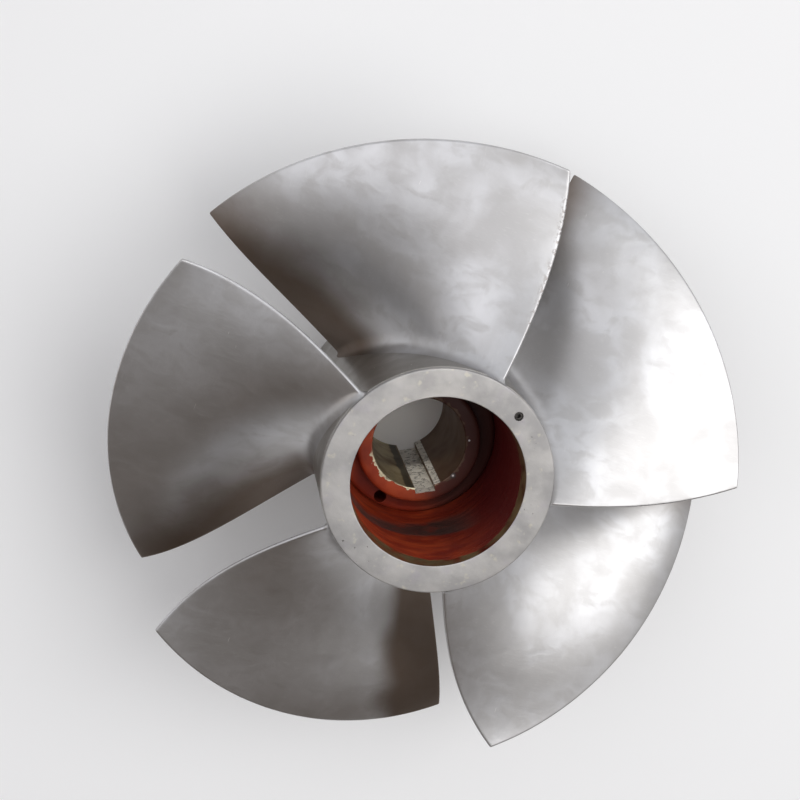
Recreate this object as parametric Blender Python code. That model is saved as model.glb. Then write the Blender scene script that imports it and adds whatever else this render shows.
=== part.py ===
# Five-bladed axial turbine runner with fixed blades, standing on the shaft end of its hub.
# Metres, +Z up along the runner's axis. The origin is on the axis, in the rear hub face.

import math

import bmesh
import bpy
from mathutils import Matrix, Vector

# Hub, turned about the axis
FACE_RADIUS = 0.150           # outer radius of the machined face ring
BARREL_RADIUS = 0.1505        # cast barrel just behind the ring
HUB_HEIGHT = 0.373            # rear face to ring face
BORE_RADIUS = 0.113           # big open recess in the hub
FACE_RING_HEIGHT = 0.008      # flange of the face ring
LIP_DEPTH = 0.028             # unpainted machined lip inside the rim
LIP_WALL = 0.007
EDGE_CHAMFER = 0.0015

# Keyed shaft sleeve and the two webs that carry it
SHAFT_RADIUS = 0.065
SLEEVE_RADIUS = 0.087
SLEEVE_TOP = HUB_HEIGHT - 0.172
SLEEVE_ROUNDING = 0.007
KEY_WIDTH = 0.028
KEY_DEPTH = 0.0075
KEY_ANGLE = math.radians(-64)
WEB_TOP = HUB_HEIGHT - 0.202
WEB_THICKNESS = 0.045
WEB_FILLET = 0.008            # cast radius between web and recess wall
REAR_WEB_THICKNESS = 0.030

# Drilled holes
WEB_HOLE_RADIUS = 0.009
WEB_HOLE_PITCH = 0.100        # distance of the hole from the axis
WEB_HOLE_ANGLE = math.radians(-102)
SCREW_HOLE_RADIUS = 0.006
SCREW_HOLE_PITCH = 0.132
SCREW_HOLE_ANGLE = math.radians(58.7)
SCREW_HOLE_DEPTH = 0.022
SCREW_LENGTH = 0.014
SCREW_SINK = 0.002            # top of the grub screw below the ring face
SOCKET_RADIUS = 0.003
SOCKET_DEPTH = 0.005

# Blades: angle about the axis and depth below the ring face, at even steps from root to tip
BLADE_COUNT = 5
TIP_RADIUS = 0.4224
FRONT_ANGLES = (4.6, 6.1, 8.9, 13.2)
FRONT_DEPTHS = (0.010, 0.036, 0.056, 0.063)
BACK_ANGLES = (79.5, 78.4, 78.3, 77.9)
BACK_DEPTHS = (0.256, 0.219, 0.196, 0.211)
ROOT_CAMBER = 0.014
TIP_CAMBER = 0.011
ROOT_THICKNESS = 0.020
TIP_THICKNESS = 0.008
FRONT_EDGE_THICKNESS = 0.005
BACK_EDGE_THICKNESS = 0.003

# Root fillets, one on each side of each blade
UPPER_FILLET_LEG = 0.022
LOWER_FILLET_LEG = 0.016
FILLET_END_LEG = 0.007
FILLET_TOE = 0.0006
FILLET_ARC_POINTS = 3

# Fineness and clearance
GAP = 0.0003
ROOT_GAP = 0.0005             # curved joints at the blade roots, where facets bow
TURNED_STEPS = 72
SPAN_STEPS = 8
CHORD_STEPS = 20
CHORD_CLUSTERING = 0.4
BLADE_FULLNESS = 0.8          # exponent of the wall thickness along the chord
FILLET_FULLNESS = 0.5         # exponent of the fillet leg along the chord
SMOOTH_ANGLE = math.radians(40)


def clear_scene():
    """Remove whatever the file holds."""
    for old in list(bpy.data.objects):
        bpy.data.objects.remove(old, do_unlink=True)


def make_material(name, color, roughness, metallic):
    """A plain Principled finish."""
    material = bpy.data.materials.new(name)
    material.use_nodes = True
    shader = material.node_tree.nodes["Principled BSDF"]
    shader.inputs["Base Color"].default_value = (*color, 1.0)
    shader.inputs["Roughness"].default_value = roughness
    shader.inputs["Metallic"].default_value = metallic
    return material


def make_object(name, bm, material):
    """Turn a finished bmesh into a smooth-shaded object."""
    bmesh.ops.recalc_face_normals(bm, faces=bm.faces)
    mesh = bpy.data.meshes.new(name)
    bm.to_mesh(mesh)
    bm.free()
    mesh.materials.append(material)
    mesh.shade_smooth()
    mesh.set_sharp_from_angle(angle=SMOOTH_ANGLE)
    piece = bpy.data.objects.new(name, mesh)
    bpy.context.collection.objects.link(piece)
    return piece


def turned(name, profile, material, steps=TURNED_STEPS):
    """Spin a closed outline of (radius, height) points about the axis."""
    bm = bmesh.new()
    verts = [bm.verts.new((radius, 0.0, height)) for radius, height in profile]
    edges = [bm.edges.new((verts[i - 1], verts[i])) for i in range(len(verts))]
    bmesh.ops.spin(
        bm,
        geom=verts + edges,
        axis=(0, 0, 1),
        cent=(0, 0, 0),
        angle=math.tau,
        steps=steps,
        use_merge=True,
    )
    return make_object(name, bm, material)


def arc_points(center, radius, start, end, count):
    """Points on an arc in the (radius, height) plane, angles in degrees."""
    points = []
    for i in range(count + 1):
        angle = math.radians(start + (end - start) * i / count)
        points.append((center[0] + radius * math.cos(angle), center[1] + radius * math.sin(angle)))
    return points


def make_cutter(name, bm, place):
    """A hidden wire solid for a Boolean."""
    bmesh.ops.recalc_face_normals(bm, faces=bm.faces)
    mesh = bpy.data.meshes.new(name)
    bm.to_mesh(mesh)
    bm.free()
    cutter = bpy.data.objects.new(name, mesh)
    cutter.matrix_world = place
    cutter.hide_render = True
    cutter.display_type = "WIRE"
    bpy.context.collection.objects.link(cutter)
    return cutter


def round_cutter(name, radius, bottom, top, place, steps=32):
    """A cylinder cutter standing between two heights."""
    bm = bmesh.new()
    bmesh.ops.create_cone(
        bm,
        cap_ends=True,
        segments=steps,
        radius1=radius,
        radius2=radius,
        depth=top - bottom,
        matrix=Matrix.Translation((0, 0, (top + bottom) / 2)),
    )
    return make_cutter(name, bm, place)


def cut(piece, cutter):
    """Take the cutter out of the piece."""
    boolean = piece.modifiers.new(cutter.name, "BOOLEAN")
    boolean.operation = "DIFFERENCE"
    boolean.object = cutter


def polar(radius, angle, height=0.0):
    """A point from its radius, angle and height."""
    return Vector((radius * math.cos(angle), radius * math.sin(angle), height))


def cubic_through(values, s):
    """The smooth curve through four values at even steps of s from 0 to 1."""
    total = 0.0
    for i, value in enumerate(values):
        weight = 1.0
        for j in range(len(values)):
            if j != i:
                weight *= (s * 3 - j) / (i - j)
        total += value * weight
    return total


def hump(c, fullness):
    """Rise from 0 at one end to 1 in the middle and back to 0."""
    return math.sin(math.pi * c) ** fullness if 0 < c < 1 else 0.0


class BladeSection:
    """The blade where a cylinder of one radius cuts it."""

    def __init__(self, radius):
        self.radius = radius
        self.s = (radius - BARREL_RADIUS) / (TIP_RADIUS - BARREL_RADIUS)
        self.front_angle = math.radians(cubic_through(FRONT_ANGLES, self.s))
        self.back_angle = math.radians(cubic_through(BACK_ANGLES, self.s))
        self.front_height = HUB_HEIGHT - cubic_through(FRONT_DEPTHS, self.s)
        self.back_height = HUB_HEIGHT - cubic_through(BACK_DEPTHS, self.s)
        self.camber = ROOT_CAMBER + (TIP_CAMBER - ROOT_CAMBER) * self.s
        self.thickness = ROOT_THICKNESS + (TIP_THICKNESS - ROOT_THICKNESS) * self.s

    def mean(self, c):
        """Unrolled position (arc length, height) on the mean line."""
        angle = self.front_angle + (self.back_angle - self.front_angle) * c
        height = self.front_height + (self.back_height - self.front_height) * c
        return Vector((angle * self.radius, height + self.camber * 4 * c * (1 - c)))

    def direction(self, c):
        """Unit vector along the mean line, front to back."""
        run = (self.back_angle - self.front_angle) * self.radius
        rise = self.back_height - self.front_height + self.camber * 4 * (1 - 2 * c)
        return Vector((run, rise)).normalized()

    def half_thickness(self, c):
        """Half the wall, thin at both edges."""
        edge = FRONT_EDGE_THICKNESS + (BACK_EDGE_THICKNESS - FRONT_EDGE_THICKNESS) * c
        return (edge + (self.thickness - edge) * hump(c, BLADE_FULLNESS)) / 2

    def surface(self, c, side, lift=0.0, along=0.0):
        """A point off one side of the blade; side is +1 above and -1 below."""
        tangent = self.direction(c)
        normal = Vector((-tangent.y, tangent.x))
        offset = side * (self.half_thickness(c) + lift)
        flat = self.mean(c) + normal * offset + tangent * along
        return polar(self.radius, flat.x / self.radius, flat.y)

    def outline(self):
        """Closed loop: front nose, upper side, back nose, lower side."""
        stations = chord_stations()
        front = self.surface(0.0, 0.0, along=-FRONT_EDGE_THICKNESS / 2)
        back = self.surface(1.0, 0.0, along=BACK_EDGE_THICKNESS / 2)
        upper = [self.surface(c, 1) for c in stations]
        lower = [self.surface(c, -1) for c in reversed(stations)]
        return [front, *upper, back, *lower]


def chord_stations():
    """Fractions of the chord, a little closer together near the edges."""
    stations = []
    for i in range(CHORD_STEPS + 1):
        even = i / CHORD_STEPS
        bunched = 0.5 - 0.5 * math.cos(math.pi * even)
        stations.append(even + CHORD_CLUSTERING * (bunched - even))
    return stations


def loft(bm, loops, turn_after=None):
    """Join loops of equal length with triangles, whose diagonals turn after one index."""
    rows = [[bm.verts.new(point) for point in loop] for loop in loops]
    count = len(rows[0])
    turn_after = count if turn_after is None else turn_after
    for row, following in zip(rows, rows[1:]):
        for i in range(count):
            j = (i + 1) % count
            if i < turn_after:
                bm.faces.new((row[i], row[j], following[j]))
                bm.faces.new((row[i], following[j], following[i]))
            else:
                bm.faces.new((row[i], row[j], following[i]))
                bm.faces.new((row[j], following[j], following[i]))
    return rows


def cap_blade(bm, row):
    """Close a blade outline with quads from its upper to its lower side."""
    count = len(row)
    half = count // 2
    bm.faces.new((row[0], row[1], row[-1]))
    for i in range(1, half - 1):
        bm.faces.new((row[i], row[i + 1], row[count - i - 1], row[count - i]))
    bm.faces.new((row[half - 1], row[half], row[half + 1]))


def cap_fan(bm, row):
    """Close a fillet section with a fan from its corner."""
    for first, second in zip(row[1:], row[2:]):
        bm.faces.new((row[0], first, second))


def make_blade_mesh(material):
    """One blade from the hub to the tip."""
    root = BARREL_RADIUS + ROOT_GAP
    radii = [root, root + UPPER_FILLET_LEG]
    for i in range(1, SPAN_STEPS):
        radii.append(radii[1] + (TIP_RADIUS - radii[1]) * i / (SPAN_STEPS - 1))
    bm = bmesh.new()
    rows = loft(bm, [BladeSection(radius).outline() for radius in radii], CHORD_STEPS + 2)
    cap_blade(bm, rows[0])
    cap_blade(bm, rows[-1])
    return make_object("blade_1", bm, material)


def fillet_section(c, side):
    """Closed outline of one root fillet at one place along the chord."""
    full_leg = UPPER_FILLET_LEG if side > 0 else LOWER_FILLET_LEG
    leg = FILLET_END_LEG + (full_leg - FILLET_END_LEG) * hump(c, FILLET_FULLNESS)
    base = BARREL_RADIUS + ROOT_GAP
    outline = [BladeSection(base).surface(c, side, lift=ROOT_GAP)]
    outline.append(BladeSection(base + leg).surface(c, side, lift=ROOT_GAP))
    steps = FILLET_ARC_POINTS + 1
    for i in range(steps + 1):
        angle = math.pi / 2 * i / steps
        out = leg * (1 - math.sin(angle)) + FILLET_TOE * (i == steps)
        away = leg * (1 - math.cos(angle)) + FILLET_TOE * (i < steps)
        outline.append(BladeSection(base + out).surface(c, side, lift=ROOT_GAP + away))
    outline.append(BladeSection(base).surface(c, side, lift=ROOT_GAP + leg))
    return outline


def make_fillet_mesh(name, side, material):
    """A concave fillet along one side of the blade's root."""
    bm = bmesh.new()
    loops = [fillet_section(c, side) for c in chord_stations()]
    hub_side = len(loops[0]) - 1
    rows = loft(bm, loops, hub_side if side < 0 else None)
    cap_fan(bm, rows[0])
    cap_fan(bm, rows[-1])
    return make_object(name, bm, material)


def copy_round(first, stem):
    """Turn copies of the first piece round the axis, sharing its mesh."""
    for i in range(1, BLADE_COUNT):
        piece = bpy.data.objects.new(f"{stem}_{i + 1}", first.data)
        piece.rotation_euler.z = math.tau * i / BLADE_COUNT
        bpy.context.collection.objects.link(piece)


def make_barrel(material):
    """The cast wall of the hub, with the seat of the face ring."""
    top = HUB_HEIGHT - FACE_RING_HEIGHT - GAP
    seat_radius = BORE_RADIUS + LIP_WALL + GAP
    seat_floor = HUB_HEIGHT - LIP_DEPTH - GAP
    profile = [
        (BARREL_RADIUS, top),
        (BARREL_RADIUS, EDGE_CHAMFER),
        (BARREL_RADIUS - EDGE_CHAMFER, 0.0),
        (BORE_RADIUS, 0.0),
        (BORE_RADIUS, seat_floor),
        (seat_radius, seat_floor),
        (seat_radius, top),
    ]
    return turned("hub_barrel", profile, material)


def make_face_ring(material):
    """The machined ring on the open end of the hub, with its lip down inside."""
    flange = HUB_HEIGHT - FACE_RING_HEIGHT
    profile = [
        (FACE_RADIUS - EDGE_CHAMFER, HUB_HEIGHT),
        (FACE_RADIUS, HUB_HEIGHT - EDGE_CHAMFER),
        (FACE_RADIUS, flange),
        (BORE_RADIUS + LIP_WALL, flange),
        (BORE_RADIUS + LIP_WALL, HUB_HEIGHT - LIP_DEPTH),
        (BORE_RADIUS, HUB_HEIGHT - LIP_DEPTH),
        (BORE_RADIUS, HUB_HEIGHT - EDGE_CHAMFER),
        (BORE_RADIUS + EDGE_CHAMFER, HUB_HEIGHT),
    ]
    return turned("hub_face_ring", profile, material)


def make_sleeve(material):
    """The boss that takes the shaft, with its rounded shoulder and keyway."""
    shoulder = (SLEEVE_RADIUS - SLEEVE_ROUNDING, SLEEVE_TOP - SLEEVE_ROUNDING)
    profile = arc_points(shoulder, SLEEVE_ROUNDING, 90, 0, 3)
    profile += [
        (SLEEVE_RADIUS, 0.0),
        (SHAFT_RADIUS, 0.0),
        (SHAFT_RADIUS, SLEEVE_TOP - EDGE_CHAMFER),
        (SHAFT_RADIUS + EDGE_CHAMFER, SLEEVE_TOP),
    ]
    sleeve = turned("shaft_sleeve", profile, material)
    bm = bmesh.new()
    reach = SHAFT_RADIUS + KEY_DEPTH
    size = Matrix.Diagonal((reach, KEY_WIDTH, SLEEVE_TOP * 2, 1.0))
    bmesh.ops.create_cube(bm, size=1.0, matrix=Matrix.Translation((reach / 2, 0, SLEEVE_TOP / 2)) @ size)
    cut(sleeve, make_cutter("keyway_cutter", bm, Matrix.Rotation(KEY_ANGLE, 4, "Z")))
    return sleeve


def make_webs(material):
    """The floor of the recess, which carries the sleeve, and the rear closing web."""
    inner = SLEEVE_RADIUS + GAP
    outer = BORE_RADIUS - GAP
    fillet_center = (outer - WEB_FILLET, WEB_TOP + WEB_FILLET)
    profile = [(inner, WEB_TOP - WEB_THICKNESS), (inner, WEB_TOP)]
    profile += arc_points(fillet_center, WEB_FILLET, -90, -8, 6)[1:]
    profile += [(outer, WEB_TOP + WEB_FILLET), (outer, WEB_TOP - WEB_THICKNESS)]
    web = turned("hub_web", profile, material)
    rear_profile = [(inner, 0.0), (inner, REAR_WEB_THICKNESS), (outer, REAR_WEB_THICKNESS), (outer, 0.0)]
    turned("rear_web", rear_profile, material)
    return web


def make_screw(material):
    """The grub screw in the ring face, with its socket."""
    place = Matrix.Translation(polar(SCREW_HOLE_PITCH, SCREW_HOLE_ANGLE))
    top = HUB_HEIGHT - SCREW_SINK
    bm = bmesh.new()
    bmesh.ops.create_cone(
        bm,
        cap_ends=True,
        segments=24,
        radius1=SCREW_HOLE_RADIUS - GAP,
        radius2=SCREW_HOLE_RADIUS - GAP,
        depth=SCREW_LENGTH,
        matrix=Matrix.Translation((0, 0, top - SCREW_LENGTH / 2)),
    )
    screw = make_object("face_grub_screw", bm, material)
    screw.matrix_world = place
    cut(screw, round_cutter("socket_cutter", SOCKET_RADIUS, top - SOCKET_DEPTH, top + SOCKET_DEPTH, place, 6))


def main():
    clear_scene()
    steel = make_material("ground_steel", (0.56, 0.55, 0.54), 0.38, 1.0)
    machined = make_material("machined_face", (0.60, 0.60, 0.59), 0.55, 0.8)
    cast = make_material("cast_hub", (0.52, 0.51, 0.50), 0.5, 0.9)
    primer = make_material("red_primer", (0.42, 0.07, 0.04), 0.5, 0.0)
    screw_steel = make_material("screw_steel", (0.30, 0.30, 0.30), 0.4, 1.0)

    face_ring = make_face_ring(machined)
    barrel = make_barrel(cast)
    make_sleeve(primer)
    web = make_webs(primer)

    screw_place = Matrix.Translation(polar(SCREW_HOLE_PITCH, SCREW_HOLE_ANGLE))
    screw_floor = HUB_HEIGHT - SCREW_HOLE_DEPTH
    screw_cutter = round_cutter("screw_hole_cutter", SCREW_HOLE_RADIUS, screw_floor, HUB_HEIGHT * 2, screw_place)
    cut(face_ring, screw_cutter)
    cut(barrel, screw_cutter)
    make_screw(screw_steel)
    web_place = Matrix.Translation(polar(WEB_HOLE_PITCH, WEB_HOLE_ANGLE))
    cut(web, round_cutter("web_hole_cutter", WEB_HOLE_RADIUS, 0.0, HUB_HEIGHT, web_place))

    copy_round(make_blade_mesh(steel), "blade")
    copy_round(make_fillet_mesh("upper_root_fillet_1", 1, steel), "upper_root_fillet")
    copy_round(make_fillet_mesh("lower_root_fillet_1", -1, steel), "lower_root_fillet")


main()
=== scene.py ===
# %% [markdown]
# # A turbine runner in ground steel
#
# This lesson dresses the solids of an axial turbine runner. Five twisted blades are fixed round
# a hollow hub. The hub shows a machined ring, a recess in red primer and a keyed boss for the
# shaft. Each part is modelled again a little finer than its solid, and then gets its finish.
# Lengths are in metres, and the runner's axis is Z.

# %% Load the solids
import math

import bmesh
import bpy
from mathutils import Matrix, Vector, noise


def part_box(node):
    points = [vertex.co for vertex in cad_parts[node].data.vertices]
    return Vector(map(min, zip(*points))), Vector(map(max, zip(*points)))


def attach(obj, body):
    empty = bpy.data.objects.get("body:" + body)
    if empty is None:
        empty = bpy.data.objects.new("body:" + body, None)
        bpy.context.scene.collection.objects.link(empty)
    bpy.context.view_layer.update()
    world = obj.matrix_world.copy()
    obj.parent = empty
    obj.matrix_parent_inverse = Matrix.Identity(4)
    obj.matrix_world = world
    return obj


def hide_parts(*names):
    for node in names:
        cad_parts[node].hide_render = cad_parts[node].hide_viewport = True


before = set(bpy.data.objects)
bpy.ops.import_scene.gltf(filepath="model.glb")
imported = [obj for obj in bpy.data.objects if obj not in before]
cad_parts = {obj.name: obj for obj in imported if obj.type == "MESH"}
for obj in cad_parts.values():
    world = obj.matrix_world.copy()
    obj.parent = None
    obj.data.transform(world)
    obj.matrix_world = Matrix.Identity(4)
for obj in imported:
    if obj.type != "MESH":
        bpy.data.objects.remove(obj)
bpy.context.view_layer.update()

# %% [markdown]
# ## Sizes that come from the solids
#
# The hub's main sizes are read back from the boxes of its nodes, so the fine pieces lie where
# the solids are. They could be typed in again, but then a change to the solids would be missed.
# Only sizes that a box can't give are written down.

# %% Read the hub's sizes
ring_low, ring_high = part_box("hub_face_ring")
floor_low, floor_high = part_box("hub_web")
boss_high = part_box("shaft_sleeve")[1]
RING_RADIUS = ring_high.x
RING_TOP = ring_high.z
LIP_BOTTOM = ring_low.z
BOSS_TOP = boss_high.z
BOSS_RADIUS = boss_high.x
HUB_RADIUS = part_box("hub_barrel")[1].x
CLOSING_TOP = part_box("rear_web")[1].z
RECESS_RADIUS = 0.113
SHAFT_RADIUS = 0.065
# The gap between neighbouring parts of the casting
HAIRLINE = 0.0003
# Angles about the axis, in degrees
KEY_ANGLE = -64
# The side of the recess and the bore that is darkened by painted shade
SHADED_SIDE = 30
print("ring", round(RING_RADIUS, 4), "top", round(RING_TOP, 4), "boss", round(BOSS_RADIUS, 4))

# %% [markdown]
# ## Shader sums written as Python
#
# A finish is a sum of patterns. Its nodes could be added and linked one by one, but then the sum
# can't be read. Here a socket is wrapped in a small class, so that it can be added and multiplied
# with Python's own signs, and each sign adds one Math node. Every other node comes from a single
# method, which sets the node's settings first and then its sockets.


# %% Wrap a socket
class Value:
    """A number that varies over the surface."""

    def __init__(self, finish, socket):
        self.finish = finish
        self.socket = socket

    def math(self, operation, *others):
        values = (self, *others)
        return self.finish.node("ShaderNodeMath", {"operation": operation}, dict(enumerate(values)))

    def __add__(self, other):
        return self.math("ADD", other)

    def __mul__(self, other):
        return self.math("MULTIPLY", other)

    def __sub__(self, other):
        return self.math("SUBTRACT", other)

    def __rsub__(self, other):
        return self.math("MULTIPLY", -1.0) + other

    def cosine(self):
        return self.math("COSINE")

    def between(self, low, high):
        """0 below one value, 1 above the other, with a soft step between them."""
        settings = {"interpolation_type": "SMOOTHSTEP"}
        return self.finish.node("ShaderNodeMapRange", settings, {0: self, 1: low, 2: high})

    __radd__ = __add__
    __rmul__ = __mul__


print("sockets can be added, subtracted and multiplied")


# %% Collect the nodes of a sheet
class Sheet:
    """A node tree and the one way to add to it."""

    # Where a Mix node keeps its two colours and its result
    FIRST_COLOR = 6
    SECOND_COLOR = 7
    MIXED_COLOR = 2

    def __init__(self, tree):
        self.tree = tree

    def node(self, kind, settings=None, sockets=None, output=0):
        made = self.tree.nodes.new(kind)
        for name, value in (settings or {}).items():
            setattr(made, name, value)
        for name, value in (sockets or {}).items():
            self.feed(made.inputs[name], value)
        return Value(self, made.outputs[output])

    def feed(self, socket, value):
        if isinstance(value, Value):
            self.tree.links.new(value.socket, socket)
        else:
            socket.default_value = value

    def blend(self, share, first, second):
        """A colour between two colours."""
        sockets = {0: share, self.FIRST_COLOR: first, self.SECOND_COLOR: second}
        return self.node("ShaderNodeMix", {"data_type": "RGBA"}, sockets, self.MIXED_COLOR)

    def vector(self, operation, sockets, output=0):
        """One sum on places or directions."""
        return self.node("ShaderNodeVectorMath", {"operation": operation}, sockets, output)

    def along(self, place, direction):
        """How far a place lies in one direction."""
        return self.vector("DOT_PRODUCT", {0: place, 1: direction}, "Value")


print("a sheet can collect nodes")


# %% Collect a finish
class Finish(Sheet):
    """One material and the nodes that draw it."""

    # The share of a spot that has its full strength
    SPOT_CORE = 0.7

    def __init__(self, name, roughness, metallic):
        self.material = bpy.data.materials.new(name)
        self.material.use_nodes = True
        super().__init__(self.material.node_tree)
        self.shader = self.tree.nodes["Principled BSDF"]
        self.shader.inputs["Roughness"].default_value = roughness
        self.shader.inputs["Metallic"].default_value = metallic
        self.place = self.node("ShaderNodeTexCoord", output="Object")

    def paint(self, **looks):
        for name, value in looks.items():
            self.feed(self.shader.inputs[name.replace("_", " ")], value)

    def cloud(self, scale, detail=3.0, place=None, distortion=0.0):
        """Soft noise of about one blotch in 1/scale metres."""
        sockets = {"Scale": scale, "Detail": detail, "Distortion": distortion}
        sockets["Vector"] = place or self.place
        return self.node("ShaderNodeTexNoise", None, sockets)

    def stretched(self, x, y, z):
        """The object's coordinates drawn out along its axes."""
        return self.vector("MULTIPLY", {0: self.place, 1: (x, y, z)})

    def radius(self):
        """The distance from the runner's axis."""
        return self.vector("LENGTH", {0: self.stretched(1, 1, 0)}, "Value")

    def angle(self):
        """The angle about the runner's axis."""
        return self.along(self.place, (0, 1, 0)).math("ARCTAN2", self.along(self.place, (1, 0, 0)))

    def depth(self):
        """The depth below the ring's face."""
        return RING_TOP - self.along(self.place, (0, 0, 1))

    def spot(self, place, size):
        """1 at a place and 0 beyond a distance from it."""
        distance = self.vector("DISTANCE", {0: self.place, 1: place}, "Value")
        return 1.0 - distance.between(size * self.SPOT_CORE, size)

    def relief(self, height, depth, under=None):
        """Bumps of a real depth in metres."""
        sockets = {"Height": height, "Distance": depth, "Strength": 1.0}
        if under:
            sockets["Normal"] = under
        return self.node("ShaderNodeBump", None, sockets)


print("a finish can be painted")


# %% Write colours and places
def color(red, green, blue):
    return (red, green, blue, 1.0)


def polar(radius, degrees):
    """A point in the plane of the rear face."""
    angle = math.radians(degrees)
    return Vector((radius * math.cos(angle), radius * math.sin(angle), 0.0))


print("the keyway points to", [round(v, 3) for v in polar(1.0, KEY_ANGLE)])

# %% [markdown]
# ## Ground steel
#
# The blades are cast stainless steel that was ground by hand. The grinder leaves broad, gentle
# waves, which break the reflections into clouds, and short strokes in changing directions.
# A photograph of steel could be laid on instead, but it would stretch over the twisted blades.
# So the waves are a low relief, and the strokes are noise drawn out two ways, each kept to
# patches. Where a blade is tarnished or nicked, and where its brown strip carries a painted dark
# reflection, is written on its points before it is bent, and read here by name.

# %% Name the marks on ground steel
FRESH_STROKE = color(0.70, 0.69, 0.68)
SCRATCH_WHITE = color(0.85, 0.84, 0.82)
# The rear edges' brown: partly tarnished steel, partly a painted dark reflection
TARNISH_AND_REFLECTION_BROWN = color(0.13, 0.093, 0.068)
NICK_BROWN = color(0.20, 0.16, 0.14)
WAVE_HEIGHT = 0.0022
SMEAR_HEIGHT = 0.0003
STROKE_HEIGHT = 0.00006
NICK_DEPTH = 0.0003
print("waves", WAVE_HEIGHT * 1000, "mm, smears", SMEAR_HEIGHT * 1000, "mm")


# %% Make the ground steel
def ground_steel(name, light, dark):
    steel = Finish(name, 0.4, 1.0)
    waves = steel.cloud(7.0, 1.0)
    patches = steel.cloud(14.0, 5.0, distortion=0.4)
    smears = steel.cloud(1.0, 3.0, steel.stretched(26.0, 40.0, 40.0), distortion=0.4)
    along = steel.cloud(1.0, 4.0, steel.stretched(60.0, 420.0, 420.0))
    across = steel.cloud(1.0, 4.0, steel.stretched(400.0, 70.0, 160.0))
    choice = patches.between(0.42, 0.58)
    strokes = along * choice + across * (1.0 - choice)
    scratches = steel.cloud(1.0, 1.0, steel.stretched(300.0, 34.0, 90.0)).between(0.80, 0.83)
    tarnish_and_dark_reflection = steel.node("ShaderNodeAttribute", {"attribute_name": "tarnish_and_dark_reflection"}, output="Fac")
    nicked = steel.node("ShaderNodeAttribute", {"attribute_name": "nicked"}, output="Fac")
    nicks = nicked * steel.cloud(210.0, 4.0).between(0.50, 0.60)
    tone = steel.blend(patches.between(0.30, 0.70), light, dark)
    tone = steel.blend(smears.between(0.46, 0.66) * 0.75, tone, dark)
    tone = steel.blend(strokes.between(0.55, 0.8) * 0.25, tone, FRESH_STROKE)
    tone = steel.blend(scratches * 0.7, tone, SCRATCH_WHITE)
    # The brown strip on the rear edge is tarnished steel and also a painted dark reflection
    tone = steel.blend(tarnish_and_dark_reflection, tone, TARNISH_AND_REFLECTION_BROWN)
    tone = steel.blend(nicks * 0.75, tone, NICK_BROWN)
    normal = steel.relief(waves, WAVE_HEIGHT)
    normal = steel.relief(smears, SMEAR_HEIGHT, under=normal)
    normal = steel.relief(strokes, STROKE_HEIGHT, under=normal)
    normal = steel.relief(nicks, -NICK_DEPTH, under=normal)
    rough = strokes * 0.08 + patches * 0.10 + smears * 0.12 + 0.24 + tarnish_and_dark_reflection * 0.1
    steel.paint(Base_Color=tone, Roughness=rough, Normal=normal)
    return steel.material


blade_steel = ground_steel("ground_blade_steel", color(0.60, 0.597, 0.605), color(0.48, 0.47, 0.465))
hub_steel = ground_steel("ground_hub_steel", color(0.50, 0.485, 0.465), color(0.36, 0.34, 0.315))
print("made", blade_steel.name, "and", hub_steel.name)

# %% [markdown]
# ## Grooves of the lathe
#
# A turned face has very fine grooves round the axis. An anisotropic shader could fake their
# gloss, but a cosine of the distance from the axis draws each groove at its real spacing.

# %% Lay dents over grooves
DENT_DEPTH = 0.0005
GROOVE_DEPTH = 0.00002


def turned_relief(machined, pitch, dents):
    """Shallow dents over fine grooves round the axis."""
    grooves = (machined.radius() * (math.tau / pitch)).cosine()
    return machined.relief(dents, DENT_DEPTH, under=machined.relief(grooves, GROOVE_DEPTH))


print("grooves", GROOVE_DEPTH * 1000, "mm deep")

# %% [markdown]
# ## The ring's face
#
# The ring on the open end is turned flat and has stood in the open since. It is matt and light,
# with faint stains, cream marks and a few pits. Each mark is noise of its own size, cut off at
# a height that few of its blotches reach, which is simpler than drawing the marks one by one.

# %% Make the ring's finish
RING_LIGHT = color(0.47, 0.455, 0.44)
RING_DARK = color(0.36, 0.35, 0.345)
RING_STAIN = color(0.42, 0.39, 0.43)
RING_CREAM = color(0.58, 0.55, 0.46)
RING_PIT = color(0.16, 0.15, 0.14)
RING_PITCH = 0.0011


def ring_finish():
    ring = Finish("machined_ring", 0.5, 0.75)
    mottle = ring.cloud(26.0, 5.0)
    stains = ring.cloud(41.0, 3.0).between(0.55, 0.75)
    cream = ring.cloud(95.0, 4.0).between(0.60, 0.74)
    pits = ring.cloud(170.0, 1.0).between(0.76, 0.80) * ring.cloud(19.0, 1.0).between(0.5, 0.6)
    tone = ring.blend(mottle.between(0.35, 0.70), RING_LIGHT, RING_DARK)
    tone = ring.blend(stains * 0.35, tone, RING_STAIN)
    tone = ring.blend(cream * 0.6, tone, RING_CREAM)
    tone = ring.blend(pits, tone, RING_PIT)
    normal = turned_relief(ring, RING_PITCH, ring.cloud(60.0, 4.0) - pits)
    ring.paint(Base_Color=tone, Roughness=mottle * 0.2 + 0.42, Normal=normal)
    return ring.material


ring_steel = ring_finish()
print("made", ring_steel.name)

# %% [markdown]
# ## The shaft's bore
#
# The bore is turned too, but olive with age, darker on one side with painted shade, and dark
# in a strip beside the keyway. The strip could be a piece of its own, but it is only a colour,
# so it is kept between two lines that are measured across the keyway.

# %% Make the bore's finish
BORE_OLIVE = color(0.50, 0.42, 0.25)
BORE_BROWN = color(0.28, 0.20, 0.11)
BORE_SHADE = color(0.13, 0.063, 0.036)
BORE_DARK_STRIP = color(0.05, 0.042, 0.03)
BORE_PITCH = 0.0007
# The dark strip's two soft edges, measured across from the keyway's middle
DARK_STRIP_START = (-0.028, -0.024)
DARK_STRIP_END = (-0.016, -0.013)
DARK_STRIP_RAGGED = 0.01


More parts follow.
